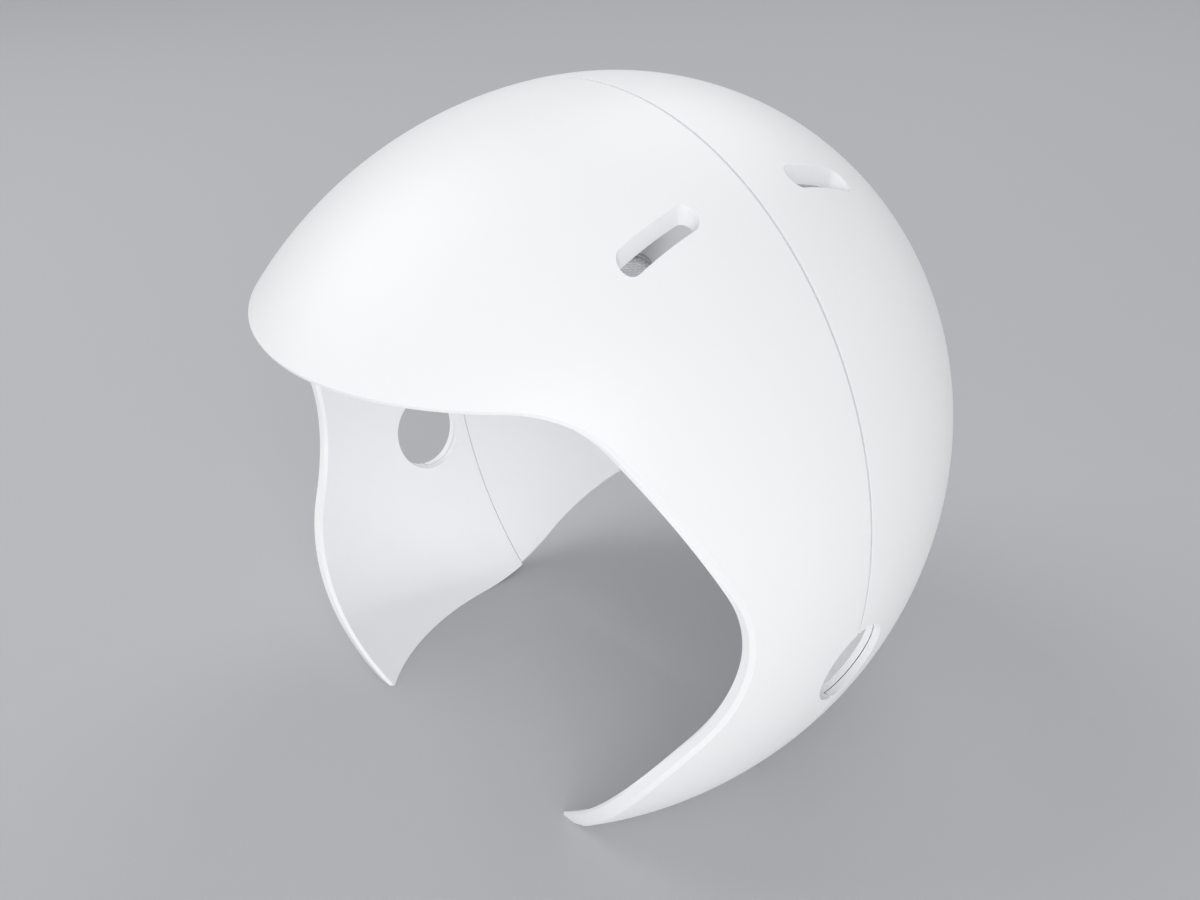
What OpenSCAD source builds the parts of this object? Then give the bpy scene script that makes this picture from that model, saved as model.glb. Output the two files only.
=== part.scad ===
// Open-face sport helmet in two hard shells that slide apart for size,
// with pads, slide plates and fasteners inside. Millimetres, +Z up, face
// towards -Y. The origin is at the middle of the footprint, on the surface
// that the cheek tips stand on.

/* [Dome] */
// Half of the width over both ears
dome_half_w = 115; // [105:1:125]
// Reach of the dome forward of the seam
dome_front = 145; // [135:1:155]
// Reach of the dome behind the seam
dome_back = 135; // [125:1:145]
// Height of the crown above the widest level
dome_up = 130; // [122:1:138]
// Thickness of the hard shell
wall = 5; // [4:0.5:6]

/* [Face opening] */
// Height of the brow edge above the widest level
brow_z = 72; // [68:1:76]
// Radius of the opening's upper corners
brow_corner_r = 20; // [14:1:24]
// Lean of the opening's straight side from upright, in degrees
side_lean = 27; // [24:1:30]
// Radius of the hollow in the opening's edge beside the ear
ear_curve_r = 50; // [46:1:54]
// Furthest back that the hollow reaches, measured forward of the seam
ear_curve_reach = 46.8; // [42:0.2:52]
// Height of the middle of the hollow above the widest level
ear_curve_z = -8; // [-12:1:-4]
// Radius of the cheek's rounded front
cheek_r = 62; // [58:1:66]
// Height of the middle of the cheek's rounded front
cheek_z = -76; // [-80:1:-72]

/* [Neck edge] */
// Depth of the cheek tips below the widest level
tip_depth = 97.7; // [94:0.1:101]
// Radius that turns the level cheek bottom up towards the nape
neck_turn_r = 90; // [70:1:110]
// Rise of the neck edge behind that turn, in degrees
neck_rise = 26.5; // [22:0.5:30]

/* [Ear holes] */
// Radius of each ear hole
ear_hole_r = 15; // [12:0.5:16]
// Distance of the ear holes behind the seam
ear_hole_y = 3.3; // [1:0.1:4]
// Height of the ear holes above the widest level
ear_hole_z = -35.7; // [-40:0.1:-32]

/* [Vent slots] */
// Distance of each slot from the middle of the helmet
slot_x = 59.4; // [57:0.1:62]
// Width of a slot
slot_w = 7.5; // [6:0.1:9]
// Length of a slot over its round ends
slot_len = 29.9; // [24:0.1:34]
// Distance of the front slots' middles forward of the seam
front_slot_y = 37.2; // [34:0.1:40]
// Distance of the rear slots' middles behind the seam
rear_slot_y = 34.3; // [31:0.1:37]

/* [Size slide] */
// How far the rear shell slides back
slide_travel = 12; // [8:1:14]
// Length of the tongue that the front shell reaches under the rear shell
tongue_len = 22; // [21:0.5:24]
// Thickness of the tongue
tongue_t = 2.2; // [1.8:0.1:2.5]
// Clearance between parts that slide past each other
slide_gap = 0.3; // [0.2:0.05:0.4]
// Width of the open seam line when the helmet is at its smallest
seam_gap = 0.3; // [0.2:0.05:0.5]

/* [Slide plates] */
// Height of the side plates above the widest level
side_plate_z = 14; // [12:0.5:15]
// How far inside the shell's widest place the side plates are seated
side_plate_drop = 13; // [12:0.5:14]
// How far below the inside of the crown the crown plate is seated
crown_plate_drop = 11.5; // [11:0.5:13]
// Width of a slide plate
plate_w = 14; // [12:0.5:16]
// Thickness of a slide plate
plate_t = 1.5; // [1.2:0.1:2]
// Distance of the clamp screws forward of the seam
clamp_y = 14; // [12:0.5:16]
// Distance of the first plate screw behind the seam
plate_screw_y = 30; // [29:0.5:32]
// Distance between the two plate screws of one plate
plate_screw_pitch = 10; // [9:0.5:11]
// Extra height of a boss beside the plate that it carries
boss_margin = 1.5; // [1:0.1:2]
// Material ahead of and behind a clamp screw's insert
front_boss_wall = 5; // [4:0.5:6]
// Material ahead of a plate screw's insert
rear_boss_wall = 3; // [2.5:0.5:4]
// Length of plate past its last screw's head
plate_end = 1; // [0.5:0.1:1.5]
// Clearance on each side of a plate where it is clamped
clamp_gap = 0.1; // [0.05:0.05:0.15]

/* [Fasteners] */
// Radius of a screw's shank
screw_r = 2; // [1.5:0.1:2.5]
// Length of a screw under its head
screw_len = 8; // [7:0.5:9]
// Radius of a screw's head
head_r = 3.5; // [3:0.1:4]
// Height of a screw's head
head_h = 3; // [2:0.1:3.5]
// Width of the hexagon socket across its flats
socket_w = 3; // [2.5:0.1:3]
// Radius of a clamp washer
washer_r = 5.5; // [5:0.1:6]
// Thickness of a clamp washer
washer_t = 1; // [0.8:0.1:1.5]
// Outer radius of a threaded insert
insert_r = 3; // [2.8:0.1:3.5]
// Length of a threaded insert
insert_len = 6; // [5:0.5:6.5]
// Room past the tip of a screw in its boss
tip_gap = 0.5; // [0.3:0.1:1]
// Clearance round a screw in its insert
thread_gap = 0.05; // [0.02:0.01:0.1]
// Clearance round an insert in its boss
insert_gap = 0.02; // [0.01:0.01:0.05]

/* [Pads] */
// Thickness of the stiff foam next to the shell
foam_t = 11; // [9:0.5:13]
// Thickness of the covered comfort pad on that foam
cushion_t = 10; // [8:0.5:12]
// Gap that keeps each pad layer clear of the next piece
pad_gap = 0.3; // [0.2:0.05:0.4]
// How far a foam block's edge stands inside its cushion's edge
foam_inset = 2; // [1:0.5:4]
// Radius of a pad's corners
pad_corner_r = 10; // [8:1:11]
// Radius of a hook disc
disc_r = 8; // [6:0.5:9]
// Thickness of a hook disc
disc_t = 1.2; // [1:0.1:1.5]
// Gap between the shell and a hook disc
disc_gap = 0.05; // [0.02:0.01:0.1]

/* [Pad places] */
// Width of the brow pad
brow_pad_w = 100; // [90:1:106]
// Lean of the brow pad from upright, in degrees
brow_pad_lean = 45; // [43:1:47]
// Gap between the brow edge and the brow pad, along the pad's slope
brow_pad_low = 8; // [6:1:10]
// Height of the brow pad along its slope
brow_pad_h = 36; // [34:1:37]
// Height of the brow pad's level bottom above the brow edge
brow_pad_rise = 1.5; // [1:0.5:3]
// Width of the crown pads
crown_pad_w = 80; // [74:1:84]
// Distance of the front crown pad's rear edge forward of the seam
front_crown_start = 34; // [33:0.5:36]
// Gap between the brow pad and the front crown pad, at the middle
pads_apart = 8; // [7:0.5:10]
// Distance of the rear crown pad's front edge behind the seam
rear_crown_start = 48; // [46:1:50]
// Length of the rear crown pad
rear_crown_len = 38; // [34:1:39]
// Distance of the temple pads' rear edge forward of the seam
temple_start = 2; // [1:0.5:3]
// Length of a temple pad
temple_len = 34; // [30:1:35]
// Lowest level of a temple pad
temple_low = 26; // [24:0.5:26]
// Height of a temple pad
temple_h = 40; // [38:1:40]
// Distance of the rear side pads' front edge behind the seam
side_start = 50; // [48:1:52]
// Length of a rear side pad
side_len = 36; // [32:1:38]
// Lowest level of a rear side pad
side_low = -16; // [-18:1:-12]
// Height of a rear side pad
side_h = 52; // [46:1:54]
// Width of the nape pad
nape_pad_w = 80; // [74:1:84]
// Lowest level of the nape pad
nape_low = -30; // [-32:1:-26]
// Height of the nape pad
nape_h = 70; // [64:1:72]

/* [Hidden] */

// Facets per turn of the domes and of small round parts
DOME_FN = 180;
ROUND_FN = 64;
// The two ends of the helmet along Y
FRONT = -1;
BACK = 1;
// A length that is past every part of the helmet
FAR = 400;
// A length that is past the wall and the pads, from inside them
PAST_WALL = 50;
// How far one solid reaches into another that it is joined to
SINK = 1;
// Hook discs behind each pad, and their places across it as shares of its half
DISC_PLACES = [-0.5, 0.5];

// Front of the brow edge, where the dome is cut at brow level
brow_reach = dome_front * sqrt(1 - pow(brow_z / dome_up, 2));
// Place of the seam behind the middle of the footprint
seam_y = (brow_reach - dome_back) / 2;

// Side view of the face opening, as [y, z] from the dome's centre.
// The hollow beside the ear
ear_c = [-ear_curve_reach - ear_curve_r, ear_curve_z];
ear_tangent = ear_c + ear_curve_r * [cos(side_lean), sin(side_lean)];
// Where the straight side would meet the brow edge without its corner
brow_corner = [ear_tangent[0] - (brow_z - ear_tangent[1]) * tan(side_lean), brow_z];
corner_run = brow_corner_r * tan((90 - side_lean) / 2);
corner_c = [brow_corner[0] - corner_run, brow_z - brow_corner_r];
corner_tangent = corner_c + brow_corner_r * [cos(side_lean), sin(side_lean)];
// The cheek's round front touches the hollow
cheek_drop = ear_curve_z - cheek_z;
cheek_c = [ear_c[0] + sqrt(pow(ear_curve_r + cheek_r, 2) - pow(cheek_drop, 2)), cheek_z];
cheek_tangent = ear_c + (cheek_c - ear_c) * ear_curve_r / (ear_curve_r + cheek_r);

// Side view of the neck edge
neck_turn_run = neck_turn_r * tan(neck_rise / 2);
neck_turn_end = [neck_turn_run * (1 + cos(neck_rise)), neck_turn_run * sin(neck_rise) - tip_depth];
neck_far = neck_turn_end + FAR * [cos(neck_rise), sin(neck_rise)];

// Outside of the tongue, and the face of the rear shell that it slides in
tongue_depth = wall - tongue_t;
rebate_depth = tongue_depth - slide_gap;

// Depths of the pad layers below the outside of the dome
disc_depth = wall + disc_gap;
foam_depth = disc_depth + disc_t + pad_gap;
cushion_depth = foam_depth + foam_t + pad_gap;
pad_depth = cushion_depth + cushion_t;
// The front crown pad fills the room up to the brow pad
front_crown_len = brow_reach - (brow_pad_low + brow_pad_h) * sin(brow_pad_lean)
    - pad_depth * cos(brow_pad_lean) - pads_apart - front_crown_start;

// Seats of the slide plates
side_plate_x = dome_half_w - wall - side_plate_drop;
crown_plate_z = dome_up - wall - crown_plate_drop;
// Slide plate along Y, from the seam
plate_slot_r = screw_r + slide_gap;
plate_front = -clamp_y - slide_travel - plate_slot_r - head_r;
plate_back = plate_screw_y + plate_screw_pitch + head_r + plate_end;
boss_w = plate_w + 2 * boss_margin;
front_boss_len = 2 * (insert_r + front_boss_wall);
rear_boss_start = plate_screw_y - insert_r - rear_boss_wall;
// Depth of a boss hole below its boss, past the insert and the screw's tip
boss_hole_depth = max(insert_len, screw_len - plate_t) + tip_gap;

WHITE = [0.93, 0.94, 0.95];
FOAM = [0.84, 0.85, 0.86];
FABRIC = [0.72, 0.73, 0.75];
HOOK = [0.75, 0.76, 0.78];
STEEL = [0.72, 0.73, 0.75];
BRASS = [0.80, 0.66, 0.35];

// Moves a part from the dome's centre to the origin of the helmet
module place() translate([0, seam_y, tip_depth]) children();

// The whole ellipsoid that the dome's front or back is half of, depth below
// the outside. The poles of its sphere lie along Y, or along X where aside is
// set, so that no pole and no seam is on a face that stays.
module dome(end, depth, aside = false) {
    reach = end == FRONT ? dome_front : dome_back;
    r = dome_up - depth;
    scale([(dome_half_w - depth) / r, (reach - depth) / r, 1])
        rotate(aside ? [0, 90, 0] : [90, 0, 0]) rotate([0, 0, -90]) sphere(r = r, $fn = DOME_FN);
}

module front_space(end = 0) translate([-FAR / 2, end - FAR, -FAR / 2]) cube(FAR);
module rear_space(start = 0) translate([-FAR / 2, start, -FAR / 2]) cube(FAR);

// The whole dome with its front and its back, depth below the outside
module front_dome(depth) intersection() { dome(FRONT, depth); front_space(); }
module rear_dome(depth) intersection() { dome(BACK, depth); rear_space(); }

// Carries a side view outline in [y, z] right across the helmet
module across() rotate([90, 0, 90]) translate([0, 0, -FAR / 2]) linear_extrude(FAR) children();

module face_outline() difference() {
    union() {
        translate(ear_c) circle(r = ear_curve_r, $fn = DOME_FN);
        translate(corner_c) circle(r = brow_corner_r, $fn = ROUND_FN);
        polygon([[-FAR, brow_z], [corner_c[0], brow_z], corner_tangent, ear_tangent, ear_c,
            cheek_tangent, cheek_c, [cheek_c[0], -FAR], [-FAR, -FAR]]);
    }
    translate(cheek_c) circle(r = cheek_r, $fn = DOME_FN);
}

// Everything below the neck edge: level, then up round an arc, then straight
module neck_outline() difference() {
    polygon([[-FAR, -tip_depth], [0, -tip_depth], neck_turn_end, neck_far,
        [FAR, -FAR], [-FAR, -FAR]]);
    translate([0, neck_turn_r - tip_depth]) circle(r = neck_turn_r, $fn = DOME_FN);
}

module ear_bore() translate([0, ear_hole_y, ear_hole_z]) rotate([0, 90, 0])
    cylinder(r = ear_hole_r, h = FAR, center = true, $fn = ROUND_FN);

// An upright slot through the dome on each side, its middle at y
module slots(y) for (side = [-1, 1]) translate([side * slot_x, y, 0]) {
    for (end = [-1, 1]) translate([0, end * (slot_len - slot_w) / 2, 0])
        cylinder(d = slot_w, h = FAR, $fn = ROUND_FN);
    translate([-slot_w / 2, -(slot_len - slot_w) / 2, 0])
        cube([slot_w, slot_len - slot_w, FAR]);
}

// Runs its children once at each slide plate, with x outwards along the
// plate's screws from the plate's seat, y along the helmet, z across
module at_right_plate() translate([side_plate_x, 0, side_plate_z]) children();
module at_left_plate() mirror([1, 0, 0]) at_right_plate() children();
module at_crown_plate() translate([0, 0, crown_plate_z]) rotate([0, -90, 0]) children();
module at_each_plate() {
    at_right_plate() children();
    at_left_plate() children();
    at_crown_plate() children();
}

module boss_block(start, len, lift) translate([lift, start, -boss_w / 2])
    cube([PAST_WALL, len, boss_w]);

// A screw's or insert's hole into a boss
module boss_hole(y, lift) translate([lift - SINK, y, 0]) rotate([0, 90, 0])
    cylinder(r = insert_r + insert_gap, h = boss_hole_depth + SINK, $fn = ROUND_FN);

module insert(y, lift) translate([lift, y, 0]) rotate([0, 90, 0]) difference() {
    cylinder(r = insert_r, h = insert_len, $fn = ROUND_FN);
    translate([0, 0, -SINK])
        cylinder(r = screw_r + thread_gap, h = insert_len + 2 * SINK, $fn = ROUND_FN);
}

// A socket head screw whose head's seat is at lift
module screw(y, lift) translate([lift, y, 0]) rotate([0, 90, 0]) difference() {
    union() {
        cylinder(r = screw_r, h = screw_len, $fn = ROUND_FN);
        translate([0, 0, -head_h]) cylinder(r = head_r, h = head_h, $fn = ROUND_FN);
    }
    translate([0, 0, -head_h - SINK])
        cylinder(d = socket_w / cos(30), h = head_h / 2 + SINK, $fn = 6);
}

module slide_plate() difference() {
    translate([-plate_t, plate_front, -plate_w / 2])
        cube([plate_t, plate_back - plate_front, plate_w]);
    for (y = [-clamp_y - slide_travel, -clamp_y]) translate([-plate_t - SINK, y, 0])
        rotate([0, 90, 0]) cylinder(r = plate_slot_r, h = plate_t + 2 * SINK, $fn = ROUND_FN);
    translate([-plate_t - SINK, -clamp_y - slide_travel, -plate_slot_r])
        cube([plate_t + 2 * SINK, slide_travel, 2 * plate_slot_r]);
    for (i = [0, 1]) translate([-plate_t - SINK, plate_screw_y + i * plate_screw_pitch, 0])
        rotate([0, 90, 0])
        cylinder(r = screw_r + slide_gap, h = plate_t + 2 * SINK, $fn = ROUND_FN);
}

// Rounded block of a pad seen along the way it is pressed to the shell:
// size across, size up, then its reach
module pad_block(w, h, inset) {
    r = pad_corner_r - inset;
    linear_extrude(FAR) union() {
        for (u = [-1, 1]) for (v = [-1, 1])
            translate([u * (w / 2 - pad_corner_r), v * (h / 2 - pad_corner_r)])
                circle(r = r, $fn = ROUND_FN);
        square([w - 2 * inset, h - 2 * pad_corner_r], center = true);
        square([w - 2 * pad_corner_r, h - 2 * inset], center = true);
    }
}

// The layer of a pad between two depths below the outside of the dome
module pad_layer(end, top, bottom) difference() {
    intersection() {
        dome(end, top, true);
        children();
    }
    dome(end, bottom, true);
}

module foam(end) pad_layer(end, foam_depth, foam_depth + foam_t) children();
module cushion(end) pad_layer(end, cushion_depth, pad_depth) children();
module disc(end) pad_layer(end, disc_depth, disc_depth + disc_t) children();

// Each of these runs its children at a pad's middle, with z pointing out
// through the shell
module at_brow_pad() translate([0, -brow_reach, brow_z]) rotate([90 - brow_pad_lean, 0, 0])
    translate([0, brow_pad_low + brow_pad_h / 2, -PAST_WALL]) children();
module at_front_crown_pad() translate([0, -front_crown_start - front_crown_len / 2, 0]) children();
module at_rear_crown_pad() translate([0, rear_crown_start + rear_crown_len / 2, 0]) children();
module at_temple_pad() translate([0, -temple_start - temple_len / 2, temple_low + temple_h / 2])
    rotate([90, 0, 90]) children();
module at_side_pad() translate([0, side_start + side_len / 2, side_low + side_h / 2])
    rotate([90, 0, 90]) children();
module at_nape_pad() translate([0, 0, nape_low + nape_h / 2]) rotate([-90, 0, 0]) children();

// The brow pad's bottom is cut level, so that nothing hangs below the brow
module brow_block(inset) intersection() {
    at_brow_pad() pad_block(brow_pad_w, brow_pad_h, inset);
    translate([-FAR / 2, -FAR, brow_z + brow_pad_rise + inset]) cube(FAR);
}
module front_crown_block(inset) at_front_crown_pad()
    pad_block(crown_pad_w, front_crown_len, inset);
module rear_crown_block(inset) at_rear_crown_pad() pad_block(crown_pad_w, rear_crown_len, inset);
module temple_block(inset) at_temple_pad() pad_block(temple_len, temple_h, inset);
module side_block(inset) at_side_pad() pad_block(side_len, side_h, inset);
module nape_block(inset) at_nape_pad() pad_block(nape_pad_w, nape_h, inset);

// Front half of the dome, with the tongue behind it that reaches under the
// rear shell and a boss for each clamp screw
module front_shell() color(WHITE) place() difference() {
    union() {
        difference() {
            union() {
                front_dome(0);
                intersection() { dome(BACK, tongue_depth); tongue_space(); }
            }
            front_dome(wall);
            rear_dome(wall);
        }
        intersection() {
            front_dome(wall - SINK);
            at_each_plate() boss_block(-clamp_y - front_boss_len / 2, front_boss_len, clamp_gap);
        }
    }
    across() face_outline();
    across() neck_outline();
    ear_bore();
    slots(-front_slot_y);
    slots(rear_slot_y);
    at_each_plate() boss_hole(-clamp_y, clamp_gap);
}

module tongue_space() translate([-FAR / 2, 0, -FAR / 2]) cube([FAR, tongue_len, FAR]);

// Rear half of the dome, thinned inside where it lies over the tongue, with
// a boss for each plate's two screws
module rear_shell() color(WHITE) place() difference() {
    union() {
        difference() {
            intersection() { dome(BACK, 0, true); rear_space(seam_gap); }
            intersection() { dome(BACK, wall, true); rear_space(tongue_len + slide_gap); }
            intersection() {
                dome(BACK, rebate_depth, true);
                front_space(tongue_len + slide_gap);
            }
        }
        intersection() {
            dome(BACK, wall - SINK, true);
            at_each_plate() boss_block(rear_boss_start, plate_back - rear_boss_start, 0);
        }
    }
    across() neck_outline();
    ear_bore();
    slots(rear_slot_y);
    for (i = [0, 1]) at_each_plate() boss_hole(plate_screw_y + i * plate_screw_pitch, 0);
}

// The foam blocks and the covered comfort pads on them
module brow_foam() color(FOAM) place() foam(FRONT) brow_block(foam_inset);
module brow_cushion() color(FABRIC) place() cushion(FRONT) brow_block(0);
module front_crown_foam() color(FOAM) place() foam(FRONT) front_crown_block(foam_inset);
module front_crown_cushion() color(FABRIC) place() cushion(FRONT) front_crown_block(0);
module right_temple_foam() color(FOAM) place() foam(FRONT) temple_block(foam_inset);
module right_temple_cushion() color(FABRIC) place() cushion(FRONT) temple_block(0);
module left_temple_foam() mirror([1, 0, 0]) right_temple_foam();
module left_temple_cushion() mirror([1, 0, 0]) right_temple_cushion();
module rear_crown_foam() color(FOAM) place() foam(BACK) rear_crown_block(foam_inset);
module rear_crown_cushion() color(FABRIC) place() cushion(BACK) rear_crown_block(0);
module right_side_foam() color(FOAM) place() foam(BACK) side_block(foam_inset);
module right_side_cushion() color(FABRIC) place() cushion(BACK) side_block(0);
module left_side_foam() mirror([1, 0, 0]) right_side_foam();
module left_side_cushion() mirror([1, 0, 0]) right_side_cushion();
module nape_foam() color(FOAM) place() foam(BACK) nape_block(foam_inset);
module nape_cushion() color(FABRIC) place() cushion(BACK) nape_block(0);

module disc_rod() cylinder(r = disc_r, h = FAR, $fn = ROUND_FN);

// Two hook discs behind each front pad
module front_hook_discs() color(HOOK) place() for (u = DISC_PLACES) {
    disc(FRONT) at_brow_pad() translate([u * brow_pad_w / 2, 0, 0]) disc_rod();
    disc(FRONT) at_front_crown_pad() translate([u * crown_pad_w / 2, 0, 0]) disc_rod();
    for (left = [0, 1]) mirror([left, 0, 0])
        disc(FRONT) at_temple_pad() translate([0, u * temple_h / 2, 0]) disc_rod();
}

// Two hook discs behind each rear pad
module rear_hook_discs() color(HOOK) place() for (u = DISC_PLACES) {
    disc(BACK) at_rear_crown_pad() translate([u * crown_pad_w / 2, 0, 0]) disc_rod();
    disc(BACK) at_nape_pad() translate([u * nape_pad_w / 2, 0, 0]) disc_rod();
    for (left = [0, 1]) mirror([left, 0, 0])
        disc(BACK) at_side_pad() translate([0, u * side_h / 2, 0]) disc_rod();
}

module left_slide_plate() color(STEEL) place() at_left_plate() slide_plate();
module right_slide_plate() color(STEEL) place() at_right_plate() slide_plate();
module crown_slide_plate() color(STEEL) place() at_crown_plate() slide_plate();
module plate_screws() color(STEEL) place() at_each_plate() for (i = [0, 1])
    screw(plate_screw_y + i * plate_screw_pitch, -plate_t);
module rear_inserts() color(BRASS) place() at_each_plate() for (i = [0, 1])
    insert(plate_screw_y + i * plate_screw_pitch, 0);
module clamp_washers() color(STEEL) place() at_each_plate()
    translate([-plate_t - clamp_gap - washer_t, -clamp_y, 0]) rotate([0, 90, 0]) difference() {
        cylinder(r = washer_r, h = washer_t, $fn = ROUND_FN);
        translate([0, 0, -SINK])
            cylinder(r = screw_r + thread_gap, h = washer_t + 2 * SINK, $fn = ROUND_FN);
    }
module clamp_screws() color(STEEL) place() at_each_plate()
    screw(-clamp_y, -plate_t - clamp_gap - washer_t);
module front_inserts() color(BRASS) place() at_each_plate() insert(-clamp_y, clamp_gap);

front_shell();
rear_shell();
brow_foam();
brow_cushion();
front_crown_foam();
front_crown_cushion();
left_temple_foam();
left_temple_cushion();
right_temple_foam();
right_temple_cushion();
front_hook_discs();
rear_crown_foam();
rear_crown_cushion();
left_side_foam();
left_side_cushion();
right_side_foam();
right_side_cushion();
nape_foam();
nape_cushion();
rear_hook_discs();
left_slide_plate();
right_slide_plate();
crown_slide_plate();
plate_screws();
rear_inserts();
clamp_screws();
clamp_washers();
front_inserts();
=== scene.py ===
"""Open-face sport helmet: the looks of two hard shells, their pads, slide plates
and fasteners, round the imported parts.

Shapes are worked out in millimetres from the centre of the dome, with +Z up and
the face towards -Y, and in_frame() puts them into the helmet's own frame in metres.
"""

import math
from collections import namedtuple

import bmesh
import bpy
import numpy as np
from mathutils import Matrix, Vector
from mathutils.bvhtree import BVHTree


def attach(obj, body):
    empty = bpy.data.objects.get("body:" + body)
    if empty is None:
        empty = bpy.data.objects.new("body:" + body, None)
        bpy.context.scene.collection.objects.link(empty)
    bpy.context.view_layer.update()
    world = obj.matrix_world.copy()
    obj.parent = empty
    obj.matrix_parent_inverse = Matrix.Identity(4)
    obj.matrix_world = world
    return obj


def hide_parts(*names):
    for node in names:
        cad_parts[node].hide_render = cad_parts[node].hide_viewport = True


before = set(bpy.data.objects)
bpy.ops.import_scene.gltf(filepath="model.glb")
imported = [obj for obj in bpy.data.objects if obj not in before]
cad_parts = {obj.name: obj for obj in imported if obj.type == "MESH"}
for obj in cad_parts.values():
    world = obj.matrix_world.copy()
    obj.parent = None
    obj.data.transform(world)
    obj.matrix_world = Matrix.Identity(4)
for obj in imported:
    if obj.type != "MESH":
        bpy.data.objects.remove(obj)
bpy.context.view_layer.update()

# The dome: half of its width, reach forward, reach back, height, and the shell's wall
HALF_W, REACH_FRONT, REACH_BACK, UP, WALL = 115.0, 145.0, 135.0, 130.0, 5.0
# The face opening, seen from the side as [y, z]
BROW_Z, BROW_CORNER_R, SIDE_LEAN = 72.0, 20.0, math.radians(27.0)
EAR_CURVE_R, EAR_CURVE_REACH, EAR_CURVE_Z = 50.0, 46.8, -8.0
CHEEK_R, CHEEK_Z = 62.0, -76.0
# The neck edge
TIP_DEPTH, NECK_TURN_R, NECK_RISE = 97.7, 90.0, math.radians(26.5)
# Ear holes and vent slots
EAR_HOLE_R, EAR_HOLE_Y, EAR_HOLE_Z = 15.0, 3.3, -35.7
SLOT_X, SLOT_W, SLOT_LEN = 59.4, 7.5, 29.9
FRONT_SLOT_Y, REAR_SLOT_Y = -37.2, 34.3
# The sliding seam
TONGUE_LEN, TONGUE_T, SLIDE_GAP, SEAM_GAP = 22.0, 2.2, 0.3, 0.9
TONGUE_DEPTH = WALL - TONGUE_T
REBATE_DEPTH = TONGUE_DEPTH - SLIDE_GAP
# The rims' chamfer, and how far the bottom edges and the seam's edges are broken
RIM_R, BOTTOM_R, SEAM_R = 1.2, 0.6, 0.12
# Seats of the slide plates and the bosses that carry them
SIDE_PLATE_X, SIDE_PLATE_Z, CROWN_PLATE_Z = 97.0, 14.0, 113.5
BOSS_W, FRONT_BOSS, REAR_BOSS = 17.0, (-22.0, -6.0), (24.0, 44.5)
CLAMP_Y, PLATE_SCREW_YS, CLAMP_GAP = -14.0, (30.0, 40.0), 0.1
INSERT_R, BOSS_HOLE_DEPTH = 3.02, 7.0
# The pads' layers, as depths below the outside of the dome
FOAM_DEPTH, FOAM_T, CUSHION_DEPTH, CUSHION_T = 6.55, 11.0, 17.85, 10.0
PAD_DEPTH = CUSHION_DEPTH + CUSHION_T
PAD_CORNER_R, FOAM_INSET = 10.0, 2.0

MM = 0.001
ACROSS, ALONG, UPWARDS = np.eye(3)
BROW_REACH = REACH_FRONT * math.sqrt(1 - (BROW_Z / UP) ** 2)
SEAM_Y = (BROW_REACH - REACH_BACK) / 2
DOME_CENTRE = np.array([0.0, SEAM_Y, TIP_DEPTH])
# The side of the seam that each body is on
AWAY = {"front": -1, "rear": 1}


def in_frame(points):
    """Millimetres from the dome's centre to metres in the helmet's frame."""
    return (np.asarray(points, float) + DOME_CENTRE) * MM


# Meshes

# Points closer than this are one, and the steps of halved()
SAME_POINT, HALVINGS = 0.002, 30


def add_object(name, data):
    """A new object in the scene."""
    thing = bpy.data.objects.new(name, data)
    bpy.context.scene.collection.objects.link(thing)
    return thing


def piece_from(name, points, faces):
    """A piece whose points are millimetres from the dome's centre, with its closed
    skin turned outwards."""
    mesh = bpy.data.meshes.new(name)
    mesh.from_pydata(in_frame(points).tolist(), [], faces)
    bm = bmesh.new()
    bm.from_mesh(mesh)
    bmesh.ops.remove_doubles(bm, verts=bm.verts, dist=SAME_POINT * MM)
    bmesh.ops.recalc_face_normals(bm, faces=bm.faces)
    bm.to_mesh(mesh)
    bm.free()
    mesh.shade_smooth()
    return add_object(name, mesh)


def ring_faces(rows, cols, loop=False):
    """Quads between rings of cols points that are numbered ring by ring. In a loop
    the last ring meets the first again."""
    r = np.arange(rows if loop else rows - 1)[:, None]
    c = np.arange(cols)[None, :]
    here, there, right = r * cols, (r + 1) % rows * cols, (c + 1) % cols
    return np.stack([here + c, here + right, there + right, there + c], -1).reshape(-1, 4)


def capped_faces(rows, cols):
    """Quads between rings, and a flat face at each end."""
    ends = [list(range(start, start + cols)) for start in (0, (rows - 1) * cols)]
    return ring_faces(rows, cols).tolist() + ends


def tube(name, rings, tips=None, loop=False):
    """A closed piece of rings of points, one after the other. Its two ends are flat,
    or fans round two tips, or meet each other in a loop."""
    rows, cols = np.shape(rings)[:2]
    points = np.reshape(rings, (-1, 3))
    if tips is None:
        faces = ring_faces(rows, cols, loop).tolist() if loop else capped_faces(rows, cols)
        return piece_from(name, points, faces)
    faces = ring_faces(rows, cols).tolist()
    for start, tip in ((0, rows * cols), ((rows - 1) * cols, rows * cols + 1)):
        ring = start + np.arange(cols)
        faces += np.stack([ring, np.roll(ring, -1), np.full(cols, tip)], -1).tolist()
    return piece_from(name, np.vstack([points, tips]), faces)


def settle(piece):
    """Applies the piece's modifiers to its mesh."""
    evaluated = piece.evaluated_get(bpy.context.evaluated_depsgraph_get())
    mesh = bpy.data.meshes.new_from_object(evaluated)
    old = piece.data
    piece.modifiers.clear()
    piece.data = mesh
    mesh.name = piece.name
    bpy.data.meshes.remove(old)


def carve(piece, tools, operation="DIFFERENCE"):
    """Cuts closed tools out of a closed piece, or joins them to it. Each tool goes
    when its mesh does."""
    for tool in tools:
        step = piece.modifiers.new("carve", "BOOLEAN")
        step.operation, step.object, step.solver = operation, tool, "MANIFOLD"
        settle(piece)
        bpy.data.meshes.remove(tool.data)


def read(items, label, width=1, kind=float):
    """One attribute of each of a mesh's items, as an array."""
    values = np.zeros(len(items) * width, kind)
    items.foreach_get(label, values)
    return values.reshape(-1, width) if width > 1 else values


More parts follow.
